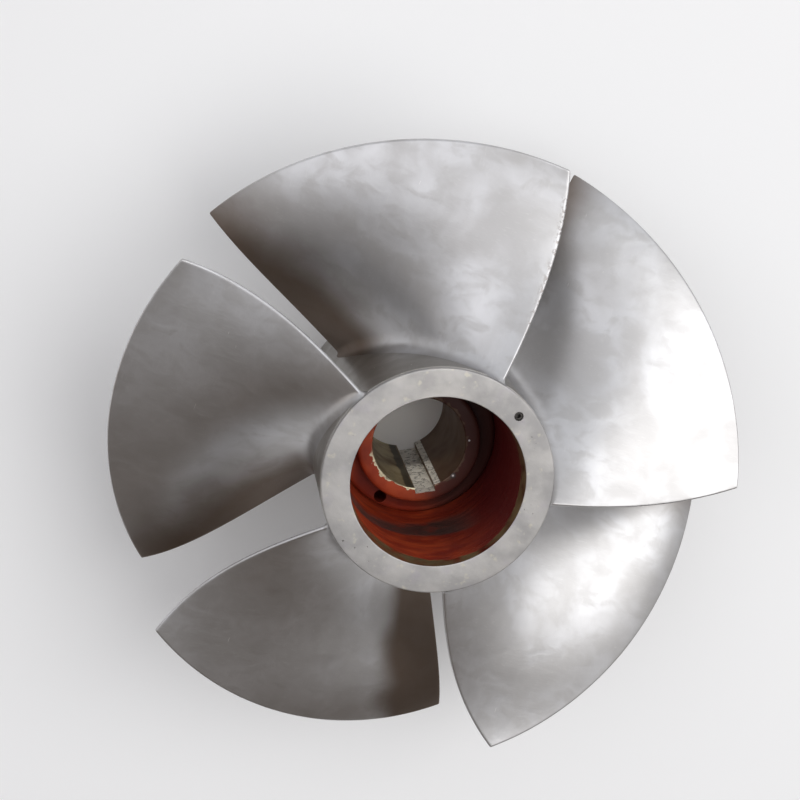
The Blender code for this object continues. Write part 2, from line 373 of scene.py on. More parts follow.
def bore_finish():
    bore = Finish("machined_shaft_bore", 0.5, 0.6)
    mottle = bore.cloud(40.0, 5.0)
    across = bore.along(bore.place, polar(1.0, KEY_ANGLE + 90)) + (mottle - 0.5) * DARK_STRIP_RAGGED
    dark_strip = across.between(*DARK_STRIP_START) * (1.0 - across.between(*DARK_STRIP_END))
    # Painted shade darkens the side of the bore that lies in shadow
    shaded_side = bore.along(bore.place, polar(1.0, SHADED_SIDE)).between(-0.03, 0.02)
    tone = bore.blend(mottle.between(0.35, 0.70), BORE_OLIVE, BORE_BROWN)
    tone = bore.blend(shaded_side * 0.9, tone, BORE_SHADE)
    tone = bore.blend(dark_strip * 0.85, tone, BORE_DARK_STRIP)
    normal = turned_relief(bore, BORE_PITCH, mottle)
    bore.paint(Base_Color=tone, Roughness=mottle * 0.2 + 0.4, Normal=normal)
    return bore.material


shaft_steel = bore_finish()
print("made", shaft_steel.name)

# %% [markdown]
# ## The screw's steel
#
# The grub screw in the ring's face is small and nearly black. A plain dark colour would look
# like a hole, so a fine grain lets a few glints through.

# %% Make the screw's finish
SCREW_LIGHT = color(0.075, 0.07, 0.065)
SCREW_DARK = color(0.02, 0.018, 0.017)
SCREW_GRAIN = 0.0004


def screw_finish():
    dark = Finish("dark_screw", 0.35, 0.9)
    speckle = dark.cloud(400.0, 3.0)
    tone = dark.blend(speckle, SCREW_LIGHT, SCREW_DARK)
    normal = dark.relief(speckle, SCREW_GRAIN)
    dark.paint(Base_Color=tone, Roughness=speckle * 0.3 + 0.2, Normal=normal)
    return dark.material


screw_steel = screw_finish()
print("made", screw_steel.name)

# %% [markdown]
# ## Red primer
#
# The recess was brushed with red oxide primer. The lip behind the ring's face and a band of the
# wall were left bare, and the brush ended in a wavy line. The line could be drawn as a curve on
# the wall, but its depth is easier to write as a mean and a few cosines of the angle about the
# axis. With some noise it wanders, and it still closes on itself.

# %% Write down the paint's edges
# The band shows on one side of the wall and the chips on one side of the boss, in degrees
BAND_SIDE = -105
CHIPPED_SIDE = -112
# Mean depth, sway, turn in degrees and number of cosines of each edge
LIP_EDGE = (0.033, -0.009, -40, 2)
BAND_TOP = (0.088, 0.008, -80, 3)
BAND_BOTTOM = (0.146, 0.007, -56, 3)
RAGGED = 0.012


def wavy(finish, mean, sway, turn, count):
    """A depth that wanders with the angle about the axis."""
    angle = finish.angle() - math.radians(turn)
    line = finish.cloud(60.0, 4.0) * RAGGED + (mean - RAGGED / 2)
    for times in range(1, count + 1):
        line = line + (angle * float(times)).cosine() * sway
    return line


print("bare lip", LIP_EDGE[0], "deep, bare band from", BAND_TOP[0], "to", BAND_BOTTOM[0])

# %% Brush the red
PRIMER_DEEP = color(0.30, 0.034, 0.014)
PRIMER_BRIGHT = color(0.50, 0.080, 0.026)
PRIMER_OLD = color(0.17, 0.020, 0.016)
PRIMER_SHADE = color(0.06, 0.008, 0.005)
BRUSH_HEIGHT = 0.0010


def primer_red(primer, shade, side_shade, *shade_reach):
    """The red with its painted shade, and how high the brush marks stand."""
    brushed = primer.cloud(1.0, 4.0, primer.stretched(22.0, 22.0, 95.0))
    red = primer.blend(brushed.between(0.35, 0.7), PRIMER_DEEP, PRIMER_BRIGHT)
    red = primer.blend(primer.cloud(13.0, 4.0).between(0.45, 0.75), red, PRIMER_OLD)
    # Painted shade: the red is darkened by a share all over, and more on the shaded side
    red = primer.blend(shade, red, PRIMER_SHADE)
    shaded_side = primer.along(primer.place, polar(1.0, SHADED_SIDE)) + primer.cloud(9.0, 4.0) * 0.06
    red = primer.blend(shaded_side.between(*shade_reach), red, side_shade)
    primer.paint(Specular_IOR_Level=0.18)
    return red, brushed


print("brush marks", BRUSH_HEIGHT * 1000, "mm high")

# %% Make the wall's primer
# Painted shade for the wall's shaded side
WALL_SHADE = color(0.125, 0.015, 0.015)
BAND_GREY = color(0.16, 0.165, 0.15)
RUST_DARK = color(0.20, 0.13, 0.055)
RUST_LIGHT = color(0.46, 0.37, 0.20)
CHIP_TAN = color(0.42, 0.30, 0.20)
# The thickness of the paint, which shows as a step at its edge
WALL_PAINT = 0.0003
# Where the painted shade begins and is full, and the soft borders of the lip and the band
WALL_SHADE_REACH = (0.0, 0.12)
LIP_BORDER = (-0.0015, 0.0015)
BAND_TOP_BORDER = (-0.004, 0.004)
BAND_BOTTOM_BORDER = (-0.022, 0.003)
BAND_SIDE_BORDER = (0.02, 0.09)


def wall_finish():
    primer = Finish("primer_recess_wall", 0.45, 0.0)
    # No overall painted shade on the wall, only painted shade on its shaded side
    red, brushed = primer_red(primer, 0.0, WALL_SHADE, *WALL_SHADE_REACH)
    depth = primer.depth()
    lip = 1.0 - (depth - wavy(primer, *LIP_EDGE)).between(*LIP_BORDER)
    band_top = (depth - wavy(primer, *BAND_TOP)).between(*BAND_TOP_BORDER)
    band_bottom = (depth - wavy(primer, *BAND_BOTTOM)).between(*BAND_BOTTOM_BORDER)
    band_side = primer.along(primer.place, polar(1.0, BAND_SIDE)).between(*BAND_SIDE_BORDER)
    band = band_top * (1.0 - band_bottom) * primer.cloud(30.0, 5.0).between(0.25, 0.55) * band_side
    chips = primer.cloud(80.0, 5.0).between(0.76, 0.79)
    rusty = primer.blend(primer.cloud(50.0, 4.0), RUST_DARK, RUST_LIGHT)
    tone = primer.blend(band * 0.7, red, BAND_GREY)
    tone = primer.blend(lip * primer.cloud(38.0, 5.0).between(0.25, 0.6), tone, rusty)
    tone = primer.blend(chips, tone, CHIP_TAN)
    normal = primer.relief(brushed, BRUSH_HEIGHT)
    normal = primer.relief(1.0 - lip, WALL_PAINT, under=normal)
    bare = lip.math("MAXIMUM", band)
    primer.paint(Base_Color=tone, Metallic=bare * 0.7, Normal=normal, Roughness=brushed * 0.25 + 0.28)
    return primer.material


wall_primer = wall_finish()
print("made", wall_primer.name)

# %% Make the boss's primer
# Painted shade for the boss's shaded side
BOSS_SHADE = color(0.050, 0.015, 0.012)
BARE_OLIVE = color(0.20, 0.185, 0.13)
CHIP_CREAM = color(0.66, 0.60, 0.42)
# Painted shade of a small hole, and two painted highlight dots on the boss's top
HOLE_SHADE_RIM = color(0.04, 0.035, 0.035)
HOLE_SHADE_CENTRE = color(0.09, 0.07, 0.07)
HIGHLIGHT_WHITE = color(0.60, 0.58, 0.58)
PAINTED_HOLE_PLACE = polar(0.0685, -27) + Vector((0, 0, BOSS_TOP))
HIGHLIGHT_PLACE = polar(0.0700, 20) + Vector((0, 0, BOSS_TOP))
HOLE_SHADE_RADIUS = 0.0050
HOLE_CENTRE_RADIUS = 0.0034
HIGHLIGHT_RADIUS = 0.0016
# The thickness of the paint, a little more than on the wall
BOSS_PAINT = 0.0004
# Where the painted shade begins and is full, and the same for the chips
BOSS_SHADE_REACH = (-0.03, 0.06)
CHIPPED_REACH = (0.045, 0.058)
# The noise takes about half of this off the radius, and the edges below allow for it
FRAY = 0.022
PAINT_EDGE = (SHAFT_RADIUS - 0.0085, SHAFT_RADIUS - 0.0075)
CHIP_EDGE = (SHAFT_RADIUS - 0.0125, SHAFT_RADIUS - 0.0095)


def boss_finish():
    primer = Finish("primer_boss", 0.45, 0.0)
    # Painted shade darkens the red of the boss and the recess floor by 0.3, and the shaded side more
    red, brushed = primer_red(primer, 0.3, BOSS_SHADE, *BOSS_SHADE_REACH)
    fray = primer.radius() - primer.cloud(95.0, 5.0) * FRAY
    bare = 1.0 - fray.between(*PAINT_EDGE)
    chipped = primer.along(primer.place, polar(1.0, CHIPPED_SIDE)).between(*CHIPPED_REACH)
    edge = bare * fray.between(*CHIP_EDGE) * chipped
    tone = primer.blend(bare * (chipped * 0.8 + 0.2), red, BARE_OLIVE)
    tone = primer.blend(edge * 0.8, tone, CHIP_CREAM)
    # Painted shade of the small hole, then the painted highlights
    tone = primer.blend(primer.spot(PAINTED_HOLE_PLACE, HOLE_SHADE_RADIUS), tone, HOLE_SHADE_RIM)
    tone = primer.blend(primer.spot(PAINTED_HOLE_PLACE, HOLE_CENTRE_RADIUS), tone, HOLE_SHADE_CENTRE)
    for glint_place in (PAINTED_HOLE_PLACE, HIGHLIGHT_PLACE):
        tone = primer.blend(primer.spot(glint_place, HIGHLIGHT_RADIUS), tone, HIGHLIGHT_WHITE)
    normal = primer.relief(brushed, BRUSH_HEIGHT)
    normal = primer.relief(1.0 - bare, BOSS_PAINT, under=normal)
    primer.paint(Base_Color=tone, Metallic=bare * 0.5, Normal=normal, Roughness=brushed * 0.25 + 0.28)
    return primer.material


boss_primer = boss_finish()
print("made", boss_primer.name)

# %% [markdown]
# ## Silver coat in the keyway
#
# The keyway's floor and a strip of the bore beside it carry a bright, crinkled coat. Its cracks
# could be the borders of a pattern of cells, but those are straight. Here noise is folded about
# its middle, so it sinks into thin winding creases, and the same creases are painted dark.

# %% Make the crinkled silver
SILVER_WHITE = color(0.98, 0.96, 0.90)
SILVER_GREY = color(0.80, 0.78, 0.72)
CREASE_DARK = color(0.10, 0.09, 0.07)
CRINKLE_HEIGHT = 0.0060


def crinkled_silver():
    silver = Finish("crinkled_silver", 0.4, 0.25)
    crinkles = (silver.cloud(75.0, 2.0, distortion=0.6) - 0.5).math("ABSOLUTE")
    creases = 1.0 - crinkles.between(0.0, 0.05)
    tone = silver.blend(silver.cloud(50.0, 4.0), SILVER_WHITE, SILVER_GREY)
    # The creases are painted dark
    tone = silver.blend(creases * 0.75, tone, CREASE_DARK)
    normal = silver.relief(crinkles, CRINKLE_HEIGHT)
    silver.paint(Base_Color=tone, Roughness=crinkles * 0.5 + 0.30, Normal=normal)
    return silver.material


key_silver = crinkled_silver()
print("made", key_silver.name)

# %% [markdown]
# ## Finishing a piece
#
# Each new piece rides on the hub's body, stands for the solid that it dresses, and names the
# slot of its finish. Its faces are turned outwards; the spun pieces have their doubles merged
# already. The same few lines would follow every piece, so they are one function.

# %% Turn a bmesh into a dressed piece
SHARP_EDGE = 35.0


def dress(name, bm, materials, solid_names, sharp=SHARP_EDGE):
    bmesh.ops.recalc_face_normals(bm, faces=bm.faces)
    mesh = bpy.data.meshes.new(name)
    bm.to_mesh(mesh)
    bm.free()
    for material in materials:
        mesh.materials.append(material)
    mesh.shade_smooth()
    mesh.set_sharp_from_angle(angle=math.radians(sharp))
    piece = bpy.data.objects.new(name, mesh)
    bpy.context.scene.collection.objects.link(piece)
    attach(piece, "root")
    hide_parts(*solid_names)
    print(name, len(mesh.polygons), "faces")
    return piece


print("edges over", SHARP_EDGE, "degrees stay sharp")

# %% [markdown]
# ## Turned parts
#
# The ring, wall, floors and boss are all round. Each could be a stack of joined cylinders, but
# on the real object a lathe cuts them from an outline, and a spin does the same. Corners are
# rounded in the outline itself, which keeps the rounding even.

# %% Spin an outline
CORNER_STEPS = 6
TURNED_STEPS = 240
# Points as near as this become one
WELD = 0.00001


def rounded(corners):
    """An outline whose corners (radius, height, rounding) are rounded off."""
    points = []
    for i, (radius, height, rounding) in enumerate(corners):
        here = Vector((radius, height))
        if rounding == 0:
            points.append(here)
            continue
        before = Vector(corners[i - 1][:2]) - here
        after = Vector(corners[(i + 1) % len(corners)][:2]) - here
        start = here + before.normalized() * rounding
        end = here + after.normalized() * rounding
        for step in range(CORNER_STEPS + 1):
            t = step / CORNER_STEPS
            points.append(start * (1 - t) ** 2 + here * 2 * t * (1 - t) + end * t * t)
    return points


def spin(corners, steps=TURNED_STEPS):
    bm = bmesh.new()
    verts = [bm.verts.new((p.x, 0.0, p.y)) for p in rounded(corners)]
    edges = [bm.edges.new((verts[i - 1], verts[i])) for i in range(len(verts))]
    circle = {"axis": (0, 0, 1), "cent": (0, 0, 0), "angle": math.tau, "steps": steps}
    bmesh.ops.spin(bm, geom=verts + edges, use_merge=True, **circle)
    bmesh.ops.remove_doubles(bm, verts=bm.verts, dist=WELD)
    return bm


print("an outline is spun in", TURNED_STEPS, "steps")

# %% [markdown]
# ## Holes and slots
#
# The casting's holes and the keyway are cut as a workshop cuts them, with a tool shape that is
# taken out of the piece. They could be part of the outline if they were round about the axis,
# but they aren't. The cut is applied at once, so the piece keeps a plain mesh.

# %% Cut a piece
# A cutter reaches this far past the face that it opens
OVERCUT = 0.01
HOLE_STEPS = 48


def carve(piece, bm):
    """Take a closed bmesh out of a piece."""
    mesh = bpy.data.meshes.new("cutter")
    bmesh.ops.recalc_face_normals(bm, faces=bm.faces)
    bm.to_mesh(mesh)
    bm.free()
    cutter = bpy.data.objects.new("cutter", mesh)
    bpy.context.scene.collection.objects.link(cutter)
    modifier = piece.modifiers.new("cut", "BOOLEAN")
    modifier.object = cutter
    bpy.context.view_layer.update()
    finished = piece.evaluated_get(bpy.context.evaluated_depsgraph_get())
    cut = bpy.data.meshes.new_from_object(finished)
    piece.modifiers.clear()
    piece.data = cut
    bpy.data.objects.remove(cutter)
    print(piece.name, "cut to", len(cut.polygons), "faces")


def drill(radius, place, bottom, top, steps=HOLE_STEPS):
    """The round bit that makes a hole."""
    bm = bmesh.new()
    matrix = Matrix.Translation((place.x, place.y, (bottom + top) / 2))
    circle = {"segments": steps, "radius1": radius, "radius2": radius}
    bmesh.ops.create_cone(bm, cap_ends=True, depth=top - bottom, matrix=matrix, **circle)
    return bm


print("a drilled hole has", HOLE_STEPS, "sides")

# %% [markdown]
# ## Ring and wall
#
# The flat ring closes the open end of the hub, with a bare lip that reaches down inside it. The
# wall stands round and under the lip. Both are machined or ground outside and painted inside,
# so the faces inside a radius and below a height take the primer, and no second piece is needed.


# %% Choose the painted faces
def paint_inside(bm, radius, top):
    """Give the second finish to the faces inside a radius and below a height."""
    painted = 0
    for face in bm.faces:
        middle = face.calc_center_median()
        face.material_index = int(middle.xy.length < radius and middle.z < top)
        painted += face.material_index
    print("painted", painted, "of", len(bm.faces), "faces")


# %% Turn the ring
FLANGE_BOTTOM = RING_TOP - 0.008
LIP_RADIUS = RECESS_RADIUS + 0.007
SCREW_PLACE = polar(0.132, 58.7)
SCREW_HOLE_RADIUS = 0.006
SCREW_HOLE_BOTTOM = RING_TOP - 0.022
# A face as near as this counts as lying on a surface
NEAR = 0.0005
# Each corner of an outline has a radius, a height and a rounding
ring_outline = [
    (RING_RADIUS, RING_TOP, 0.0022),
    (RING_RADIUS, FLANGE_BOTTOM, 0.0004),
    (LIP_RADIUS, FLANGE_BOTTOM, 0),
    (LIP_RADIUS, LIP_BOTTOM, 0),
    (RECESS_RADIUS, LIP_BOTTOM, 0.0003),
    (RECESS_RADIUS, RING_TOP, 0.0012),
]
ring_bm = spin(ring_outline)
paint_inside(ring_bm, RECESS_RADIUS + NEAR, RING_TOP - 2 * NEAR)
ring = dress("face_ring", ring_bm, [ring_steel, wall_primer], ["hub_face_ring"])
carve(ring, drill(SCREW_HOLE_RADIUS, SCREW_PLACE, SCREW_HOLE_BOTTOM, RING_TOP + OVERCUT))

# %% Turn the wall of the hub
SEAT_RADIUS = LIP_RADIUS + HAIRLINE
SEAT_HEIGHT = LIP_BOTTOM - HAIRLINE
WALL_TOP = FLANGE_BOTTOM - HAIRLINE
# The primer starts below this height, so the wall's hidden top stays steel
WALL_PAINT_TOP = RING_TOP - 0.02
wall_outline = [
    (HUB_RADIUS, WALL_TOP, 0.0004),
    (HUB_RADIUS, 0.0, 0.0020),
    (RECESS_RADIUS, 0.0, 0),
    (RECESS_RADIUS, SEAT_HEIGHT, 0),
    (SEAT_RADIUS, SEAT_HEIGHT, 0),
    (SEAT_RADIUS, WALL_TOP, 0),
]
wall_bm = spin(wall_outline)
paint_inside(wall_bm, LIP_RADIUS, WALL_PAINT_TOP)
dress("hub_wall", wall_bm, [hub_steel, wall_primer], ["hub_barrel"])

# %% [markdown]
# ## The two floors
#
# A painted floor closes the recess round the boss, with one round hole through it. A plain
# machined one closes the rear. Both are flat rings, so they are spun from four corners.

# %% Turn the two floors
FLOOR_INNER = BOSS_RADIUS + HAIRLINE
FLOOR_OUTER = RECESS_RADIUS - HAIRLINE
# The solid's cast radius climbs the wall above the flat part of the floor
CAST_RADIUS = 0.008
FLOOR_TOP = floor_high.z - CAST_RADIUS
# Here the floor's outer edge is rounded down at the wall instead
FLOOR_ROUNDING = 0.0079
WEB_HOLE_RADIUS = 0.009
WEB_HOLE_PLACE = polar(0.100, -102)
recess_outline = [
    (FLOOR_INNER, floor_low.z, 0),
    (FLOOR_INNER, FLOOR_TOP, 0),
    (FLOOR_OUTER, FLOOR_TOP, FLOOR_ROUNDING),
    (FLOOR_OUTER, floor_low.z, 0),
]
recess_floor = dress("recess_floor", spin(recess_outline), [boss_primer], ["hub_web"])
web_hole = drill(WEB_HOLE_RADIUS, WEB_HOLE_PLACE, floor_low.z - OVERCUT, floor_high.z + OVERCUT)
carve(recess_floor, web_hole)
closing_outline = [
    (FLOOR_INNER, 0.0, 0),
    (FLOOR_INNER, CLOSING_TOP, 0),
    (FLOOR_OUTER, CLOSING_TOP, 0),
    (FLOOR_OUTER, 0.0, 0),
]
dress("rear_floor", spin(closing_outline), [ring_steel], ["rear_web"])

# %% [markdown]
# ## Boss with its keyway
#
# The boss takes the shaft. Its shoulder is rounded and painted, its bore is machined, and one
# keyway runs down it. Paint, machined steel and silver meet on one piece, so each face chooses
# its finish by its distance from the axis and from the keyway.

# %% Turn the boss and cut its keyway
KEY_WIDTH = 0.028
KEY_FLOOR = SHAFT_RADIUS + 0.0075
boss_outline = [
    (BOSS_RADIUS, BOSS_TOP, 0.007),
    (BOSS_RADIUS, 0.0, 0),
    (SHAFT_RADIUS, 0.0, 0.001),
    (SHAFT_RADIUS, BOSS_TOP, 0.002),
]
boss_finishes = [boss_primer, shaft_steel, key_silver]
boss = dress("shaft_boss", spin(boss_outline), boss_finishes, ["shaft_sleeve"])
key_bm = bmesh.new()
key_turn = Matrix.Rotation(math.radians(KEY_ANGLE), 4, "Z")
key_shift = Matrix.Translation((KEY_FLOOR / 2, 0, BOSS_TOP / 2))
key_size = Matrix.Diagonal((KEY_FLOOR, KEY_WIDTH, BOSS_TOP * 2, 1.0))
bmesh.ops.create_cube(key_bm, size=1.0, matrix=key_turn @ key_shift @ key_size)
carve(boss, key_bm)

# %% Paint the bore and the keyway
PAINTED, MACHINED, SILVERED = 0, 1, 2
# How far the silver reaches across the keyway, from its middle
SILVER_START = -0.0145
SILVER_END = 0.0225
key_out = polar(1.0, KEY_ANGLE)
key_across = polar(1.0, KEY_ANGLE + 90)


def bore_index(face):
    """The finish of one face of the boss."""
    in_bore = face.center.xy.length < KEY_FLOOR + NEAR and abs(face.normal.z) < 0.5
    if not in_bore:
        return PAINTED
    on_key_side = face.center.dot(key_out) > 0
    near_key = SILVER_START < face.center.dot(key_across) < SILVER_END
    slot_side = abs(face.normal.dot(key_across)) > 0.9
    return SILVERED if on_key_side and near_key and not slot_side else MACHINED


for face in boss.data.polygons:
    face.material_index = bore_index(face)
silver_faces = sum(face.material_index == SILVERED for face in boss.data.polygons)
print("silver on", silver_faces, "of", len(boss.data.polygons), "faces of the boss")

# %% [markdown]
# ## Grub screw
#
# The small hole in the ring's face holds a socket screw, sunk a little. Its thread can't be
# seen in the hole, so it is a turned plug with a six-sided socket.

# %% Turn the grub screw
SCREW_RADIUS = 0.0057
SCREW_BOTTOM = RING_TOP - 0.016
SCREW_TOP = RING_TOP - 0.002
SCREW_STEPS = 32
SOCKET_RADIUS = 0.003
SOCKET_BOTTOM = RING_TOP - 0.007
SOCKET_SIDES = 6
# The outline stays this far off the axis, so no face shrinks to a line
AXIS_GAP = 0.0001
screw_outline = [
    (AXIS_GAP, SCREW_BOTTOM, 0),
    (SCREW_RADIUS, SCREW_BOTTOM, 0),
    (SCREW_RADIUS, SCREW_TOP, 0.0008),
    (AXIS_GAP, SCREW_TOP, 0),
]
screw_bm = spin(screw_outline, SCREW_STEPS)
bmesh.ops.translate(screw_bm, verts=screw_bm.verts, vec=SCREW_PLACE)
screw = dress("ring_screw", screw_bm, [screw_steel], ["face_grub_screw"])
carve(screw, drill(SOCKET_RADIUS, SCREW_PLACE, SOCKET_BOTTOM, RING_TOP, SOCKET_SIDES))

# %% [markdown]
# ## Lines of a blade
#
# A blade is the twisted sheet between its front and its rear edge. Sculpting it would give five
# blades that differ, so its edges are written down instead, as an angle about the axis and a
# depth below the ring's face, at four even steps from the hub to the tip. Between them runs an
# arched section whose wall is thickest in the middle.

# %% Write down the blade's edges
TIP_RADIUS = 0.4221
FRONT_ANGLES = (4.6, 6.1, 8.9, 13.2)
FRONT_DEPTHS = (0.010, 0.036, 0.056, 0.063)
BACK_ANGLES = (79.5, 78.4, 78.3, 77.9)
BACK_DEPTHS = (0.256, 0.219, 0.196, 0.211)
EDGE_STEPS = 3


def through(values, share):
    """The smooth curve through four values at even steps."""
    total = 0.0
    for i, value in enumerate(values):
        for j in range(EDGE_STEPS + 1):
            if j != i:
                value *= (share * EDGE_STEPS - j) / (i - j)
        total += value
    return total


print("front edge at mid span", round(through(FRONT_ANGLES, 0.5), 2), "degrees")

# %% Write down the blade's wall
ROOT_CAMBER = 0.014
CAMBER_LOSS = 0.003
ROOT_THICKNESS = 0.020
THICKNESS_LOSS = 0.012
FRONT_EDGE = 0.005
EDGE_LOSS = 0.002
WALL_FULLNESS = 0.8


def bulge(chord, fullness):
    """0 at the two edges of the blade and 1 halfway."""
    return math.sin(math.pi * chord) ** fullness if 0 < chord < 1 else 0.0


class Section:
    """The blade where a cylinder about the axis cuts it, unrolled flat."""

    def __init__(self, radius):
        share = (radius - HUB_RADIUS) / (TIP_RADIUS - HUB_RADIUS)
        self.radius = radius
        self.front = self.edge(through(FRONT_ANGLES, share), through(FRONT_DEPTHS, share))
        self.back = self.edge(through(BACK_ANGLES, share), through(BACK_DEPTHS, share))
        self.camber = ROOT_CAMBER - CAMBER_LOSS * share
        self.thickness = ROOT_THICKNESS - THICKNESS_LOSS * share

    def edge(self, degrees, depth):
        return Vector((math.radians(degrees) * self.radius, RING_TOP - depth))

    def place(self, chord, side, flare):
        """A point of the section, side -1 to 1, pushed outwards by the flare."""
        run = self.back - self.front
        middle = self.front + run * chord + Vector((0, self.camber * 4 * chord * (1 - chord)))
        along = (run + Vector((0, self.camber * 4 * (1 - 2 * chord)))).normalized()
        up = Vector((-along.y, along.x))
        edge = FRONT_EDGE - EDGE_LOSS * chord
        half = (edge + (self.thickness - edge) * bulge(chord, WALL_FULLNESS)) / 2
        flat = middle + up * (side * half) + along * flare.x + up * flare.y
        angle = flat.x / self.radius
        return Vector((self.radius * math.cos(angle), self.radius * math.sin(angle), flat.y))


print("root section", [round(v, 3) for v in Section(HUB_RADIUS).place(0.5, 1, Vector((0, 0)))])

# %% [markdown]
# ## A flat slab for every blade
#
# The blade starts as a flat slab, a grid that is extruded and bevelled on three sides. Bevelling
# the bent blade would pinch at its corners, so its edges are rounded while it is flat. One slab
# is copied for all five blades. Along x runs the share of the chord, along y that of the span.

# %% Cut a flat slab
CHORD_FACES = 96
SPAN_FACES = 90
SLAB_HALF = 0.006
# The width of the rounding and its number of facets
NOSE = 0.0055
NOSE_STEPS = 3
TINY = 0.0001
# Axis and place of the front, rear and tip borders
ROUND_BORDERS = ((0, 0), (0, 1), (1, 1))


def lies_at(edge, axis, place):
    return all(abs(vert.co[axis] - place) < TINY for vert in edge.verts)


def on_rim(edge):
    """True for the edges that are rounded: three borders, and the upright edges at the tip."""
    first, second = edge.verts
    on_border = any(lies_at(edge, axis, place) for axis, place in ROUND_BORDERS)
    upright = abs(first.co.z - second.co.z) > SLAB_HALF
    at_corner = lies_at(edge, 1, 1) and (lies_at(edge, 0, 0) or lies_at(edge, 0, 1))
    return on_border and (not upright or at_corner)


def flat_slab():
    bm = bmesh.new()
    corner = Matrix.Translation((0.5, 0.5, -SLAB_HALF))
    bmesh.ops.create_grid(bm, x_segments=CHORD_FACES, y_segments=SPAN_FACES, size=0.5, matrix=corner)
    raised = bmesh.ops.extrude_face_region(bm, geom=bm.faces[:])
    lifted = [item for item in raised["geom"] if isinstance(item, bmesh.types.BMVert)]
    bmesh.ops.translate(bm, verts=lifted, vec=(0, 0, 2 * SLAB_HALF))
    rim = [edge for edge in bm.edges if on_rim(edge)]
    shape = {"affect": "EDGES", "profile": 0.5, "material": -1}
    bmesh.ops.bevel(bm, geom=rim, offset=NOSE, segments=NOSE_STEPS, **shape)
    return bm


slab = flat_slab()
open_edges = [edge for edge in slab.edges if len(edge.link_faces) != 2]
print("slab faces", len(slab.faces), "open edges", len(open_edges))

# %% [markdown]
# ## Bending the slab
#
# Each point of the slab knows its share of the chord, its share of the span and its side. Those
# three numbers place it on the twisted blade. The rows next to the hub follow a quarter circle,
# which makes the root flow into the hub as the casting does, with no separate fillet to join.

# %% Bend a point of the slab
# The share of the slab's span that becomes the root's quarter circle
FILLET_SHARE = 0.12
# The quarter circle's leg halfway along the root, its change by side, and its leg at the two ends
FILLET_LEG = 0.019
FILLET_TILT = 0.003
FILLET_END_LEG = 0.007
FILLET_FULLNESS = 0.5
# How far the rounded borders reach past the blade's two edges, as shares of the chord
NOSE_REACH = 0.0065
TAIL_REACH = 0.0035


def outward_way(point):
    """The direction in which the root spreads at a point."""
    if point.x < NOSE:
        return Vector((point.x - NOSE, point.z)).normalized()
    if point.x > 1 - NOSE:
        return Vector((point.x - 1 + NOSE, point.z)).normalized()
    return Vector((0, 1 if point.z > 0 else -1))


def bent(point):
    """Where a point of the flat slab lies on the blade."""
    chord = point.x * (1 + NOSE_REACH + TAIL_REACH) - NOSE_REACH
    side = max(-1.0, min(1.0, point.z / SLAB_HALF))
    full = FILLET_LEG + FILLET_TILT * side
    leg = FILLET_END_LEG + (full - FILLET_END_LEG) * bulge(chord, FILLET_FULLNESS)
    if point.y < FILLET_SHARE:
        turn = (1 - point.y / FILLET_SHARE) * math.pi / 2
        out = leg * (1 - math.sin(turn))
        away = leg * (1 - math.cos(turn))
    else:
        out = leg + (TIP_RADIUS - HUB_RADIUS - leg) * (point.y - FILLET_SHARE) / (1 - FILLET_SHARE)
        away = 0.0
    radius = min(HUB_RADIUS - HAIRLINE + out, TIP_RADIUS)
    return Section(radius).place(chord, side, outward_way(point) * away)


print("tip's front corner", [round(v, 3) for v in bent(Vector((0, 1, 0)))])

# %% [markdown]
# ## Wear and painted dark reflection on the blades
#
# Every rear edge has a brown strip, wider on some blades, and one blade has small nicks along
# its front edge. The strip is partly tarnished steel and partly a painted dark reflection. Thin
# patches could be laid on for them, but both follow the blade's own lines. So each point of the
# flat slab stores how worn and how darkened it is, and the steel reads these numbers.

# %% Mark the wear and the painted dark reflection on a slab
# For each blade, shares of the chord: where its strip begins at root and tip, and its soft border
STRIPS = (
    (0.76, 0.88, 0.16),
    (0.54, 0.80, 0.26),
    (0.46, 0.74, 0.32),
    (0.70, 0.74, 0.12),
    (0.80, 0.88, 0.16),
)
# How far the strip's border wanders, and the scale of the noise that it follows
STRIP_RAGGED = 0.03
STRIP_SCALE = 7.0
# The strip's strength on the upper side and on the lower side
STRIP_ABOVE = 0.95
STRIP_BELOW = 0.4
NICKED_BLADE = 2
NICK_STRENGTH = 0.9
# The nicks' reach is a share of the chord, and their start and end are shares of the span
NICK_REACH = 0.022
NICK_START = 0.35
NICK_END = 0.9


def mark_wear_and_dark_reflection(bm, number):
    strip_root, strip_tip, strip_blur = STRIPS[number - 1]
    nick_strength = NICK_STRENGTH if number == NICKED_BLADE else 0.0
    tarnish_and_dark_reflection = bm.verts.layers.float.new("tarnish_and_dark_reflection")
    nicked = bm.verts.layers.float.new("nicked")
    for vert in bm.verts:
        chord, span = vert.co.x, vert.co.y
        ragged = STRIP_RAGGED * noise.noise(vert.co * STRIP_SCALE)
        strip = (chord + ragged - strip_root - (strip_tip - strip_root) * span) / strip_blur
        strip = max(0.0, min(1.0, strip))
        strength = STRIP_ABOVE if vert.co.z > 0 else STRIP_BELOW
        # The strip's brown is partly tarnished steel and partly a painted dark reflection
        vert[tarnish_and_dark_reflection] = strength * strip * strip * (3 - 2 * strip)
        at_nicks = NICK_START < span < NICK_END
        vert[nicked] = nick_strength * max(0.0, 1.0 - chord / NICK_REACH) if at_nicks else 0.0


print("blade", NICKED_BLADE, "is nicked")

# %% Make the five blades
BLADE_COUNT = 5
BLADE_SHARP_EDGE = 50.0
HOLLOW_DEPTH = 0.0008
HOLLOW_SCALE = 7.0
# The hollows reach their full depth a quarter of the way out
HOLLOW_FADE = 4
# Shifts the noise, so that no two blades have the same hollows
HOLLOW_SHIFT = 9.1


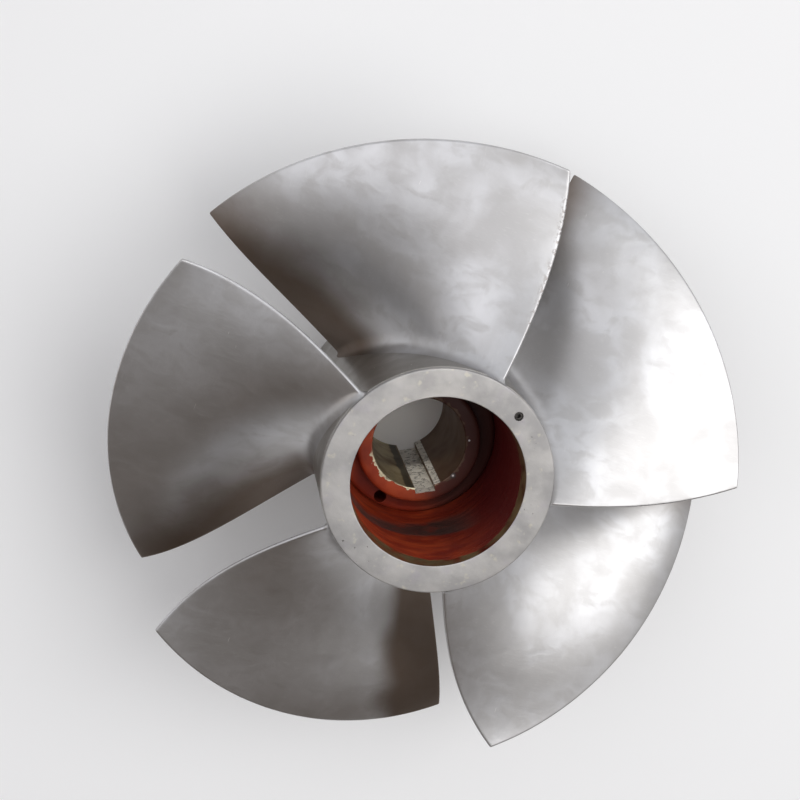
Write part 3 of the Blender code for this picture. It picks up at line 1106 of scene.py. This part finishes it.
def make_blade(number):
    bm = slab.copy()
    mark_wear_and_dark_reflection(bm, number)
    for vert in bm.verts:
        fade = min(1.0, vert.co.y * HOLLOW_FADE)
        spot = bent(vert.co)
        hollow = noise.noise(spot * HOLLOW_SCALE + Vector((number * HOLLOW_SHIFT, 0, 0)))
        vert.co = spot + Vector((0, 0, hollow * HOLLOW_DEPTH * fade))
    turn = Matrix.Rotation(math.tau * (number - 1) / BLADE_COUNT, 3, "Z")
    bmesh.ops.rotate(bm, verts=bm.verts, cent=(0, 0, 0), matrix=turn)
    solids = [f"blade_{number}", f"upper_root_fillet_{number}", f"lower_root_fillet_{number}"]
    dress(f"runner_blade_{number}", bm, [blade_steel], solids, BLADE_SHARP_EDGE)


for number in range(1, BLADE_COUNT + 1):
    make_blade(number)

# %% [markdown]
# ## Floor
#
# The runner stands on a plain pale floor. It is far larger than the picture, so that its border
# stays out of the reflections, and it lies a hair under the rear face.

# %% Lay the floor
FLOOR_REACH = 40.0
FLOOR_HEIGHT = -0.0002
FLOOR_PALE = color(0.92, 0.92, 0.92)
floor_bm = bmesh.new()
floor_place = Matrix.Translation((0, 0, FLOOR_HEIGHT))
bmesh.ops.create_grid(floor_bm, x_segments=1, y_segments=1, size=FLOOR_REACH, matrix=floor_place)
floor_mesh = bpy.data.meshes.new("floor")
floor_bm.to_mesh(floor_mesh)
floor_bm.free()
floor = bpy.data.objects.new("floor", floor_mesh)
bpy.context.scene.collection.objects.link(floor)
floor_finish = Finish("pale_floor", 0.8, 0.0)
floor_finish.paint(Base_Color=FLOOR_PALE)
floor_mesh.materials.append(floor_finish.material)
print("floor at", FLOOR_HEIGHT)

# %% [markdown]
# ## Soft lights
#
# Bare steel shows its surroundings more than its own colour, so the place of each light decides
# where the blades are bright. A wide one on the right, like a window, makes the white areas.
# A long one overhead on the left brightens the top blade near its front edge. A weak warm one
# keeps the left side readable. Small lights would give hard glints, so all three are large.

# %% Hang the lights
LIGHT_AIM = Vector((0, 0, 0.25))


def soft_light(name, place, sizes, power, tint):
    data = bpy.data.lights.new(name, "AREA")
    data.shape = "ELLIPSE"
    data.size, data.size_y = sizes
    data.energy = power
    data.color = tint
    light = bpy.data.objects.new(name, data)
    bpy.context.scene.collection.objects.link(light)
    light.location = place
    light.rotation_euler = (LIGHT_AIM - Vector(place)).to_track_quat("-Z", "Y").to_euler()
    print(name, power, "W")


soft_light("window", (1.58, 1.03, 3.5), (3.9, 3.9), 73, (1.0, 0.995, 0.985))
soft_light("ceiling", (-2.2, 0.3, 3.6), (1.7, 4.0), 18, (0.97, 0.97, 1.0))
soft_light("fill", (-4.1, -2.3, 1.3), (2.4, 2.4), 8, (1.0, 0.92, 0.84))

# %% [markdown]
# ## A light for the keyway
#
# The silver in the keyway is bright in the photograph, and the soft lights alone leave it dull.
# The coat could be made whiter, but it is nearly white already. So a narrow warm spot shines
# down across the bore onto it.

# %% Light the keyway
SPOT_POWER = 165
SPOT_TINT = (1.0, 0.95, 0.86)
SPOT_RADIUS = 0.04
# The cone's full angle in degrees, and the share of it that fades out
SPOT_CONE = 2.6
SPOT_BLEND = 0.7
# The way from the keyway to the spot
SPOT_WAY = Vector((-0.23, 0.49, 0.84))
SPOT_DISTANCE = 2.5
AIM_HEIGHT = BOSS_TOP * 0.75
spot_data = bpy.data.lights.new("keyway_spot", "SPOT")
spot_data.energy = SPOT_POWER
spot_data.spot_size = math.radians(SPOT_CONE)
spot_data.spot_blend = SPOT_BLEND
spot_data.color = SPOT_TINT
spot_data.shadow_soft_size = SPOT_RADIUS
spot_aim = polar(SHAFT_RADIUS, KEY_ANGLE) + Vector((0, 0, AIM_HEIGHT))
spot_place = spot_aim + SPOT_WAY * SPOT_DISTANCE
spot = bpy.data.objects.new("keyway_spot", spot_data)
bpy.context.scene.collection.objects.link(spot)
spot.location = spot_place
spot.rotation_euler = (spot_aim - spot_place).to_track_quat("-Z", "Y").to_euler()
print("keyway spot at", [round(v, 2) for v in spot_place])

# %% [markdown]
# ## The room
#
# What the lights don't reach is lit by the room: pale on one side and a dim brown on the other.
# A picture of a room could do this, but two colours and a soft step between them are enough.

# %% Fill the room with weak light
PALE_SIDE = (-0.17, 0.85, 0.50)
# From fully dark to fully pale, measured towards the pale side
ROOM_STEP = (-0.7, 1.0)
ROOM_DARK = color(0.098, 0.073, 0.054)
ROOM_PALE = color(0.78, 0.79, 0.82)
world = bpy.data.worlds.new("studio")
bpy.context.scene.world = world
world.use_nodes = True
room = Sheet(world.node_tree)
direction = room.node("ShaderNodeTexCoord", output="Generated")
paleness = room.along(direction, PALE_SIDE).between(*ROOM_STEP)
background = world.node_tree.nodes["Background"]
room.feed(background.inputs["Color"], room.blend(paleness, ROOM_DARK, ROOM_PALE))
background.inputs["Strength"].default_value = 1.0
bpy.context.scene.view_settings.view_transform = "Standard"
print("room lit, view", bpy.context.scene.view_settings.view_transform)

# %% [markdown]
# ## Camera
#
# The camera looks down into the hub as in the photograph. Its place and turn could be found by
# eye, but here they were fitted to the ring, the far end of the bore and the tips of the blades.
# The three directions are the camera's right, its up and the way back from the runner.

# %% Set up the camera
CAMERA_PLACE = (-0.4512, 0.4671, 2.0753)
CAMERA_RIGHT = Vector((0.93674, 0.32489, 0.13024))
CAMERA_UP = Vector((-0.28268, 0.92162, -0.26590))
CAMERA_BACK = Vector((-0.20643, 0.21226, 0.95516))
SENSOR_WIDTH = 36.0
LENS = 64.545
camera_data = bpy.data.cameras.new("camera")
camera_data.sensor_width = SENSOR_WIDTH
camera_data.lens = LENS
camera = bpy.data.objects.new("camera", camera_data)
bpy.context.scene.collection.objects.link(camera)
camera_turn = Matrix((CAMERA_RIGHT, CAMERA_UP, CAMERA_BACK)).transposed().to_4x4()
camera.matrix_world = Matrix.Translation(CAMERA_PLACE) @ camera_turn
bpy.context.scene.camera = camera
print("camera at", CAMERA_PLACE, "lens", LENS)
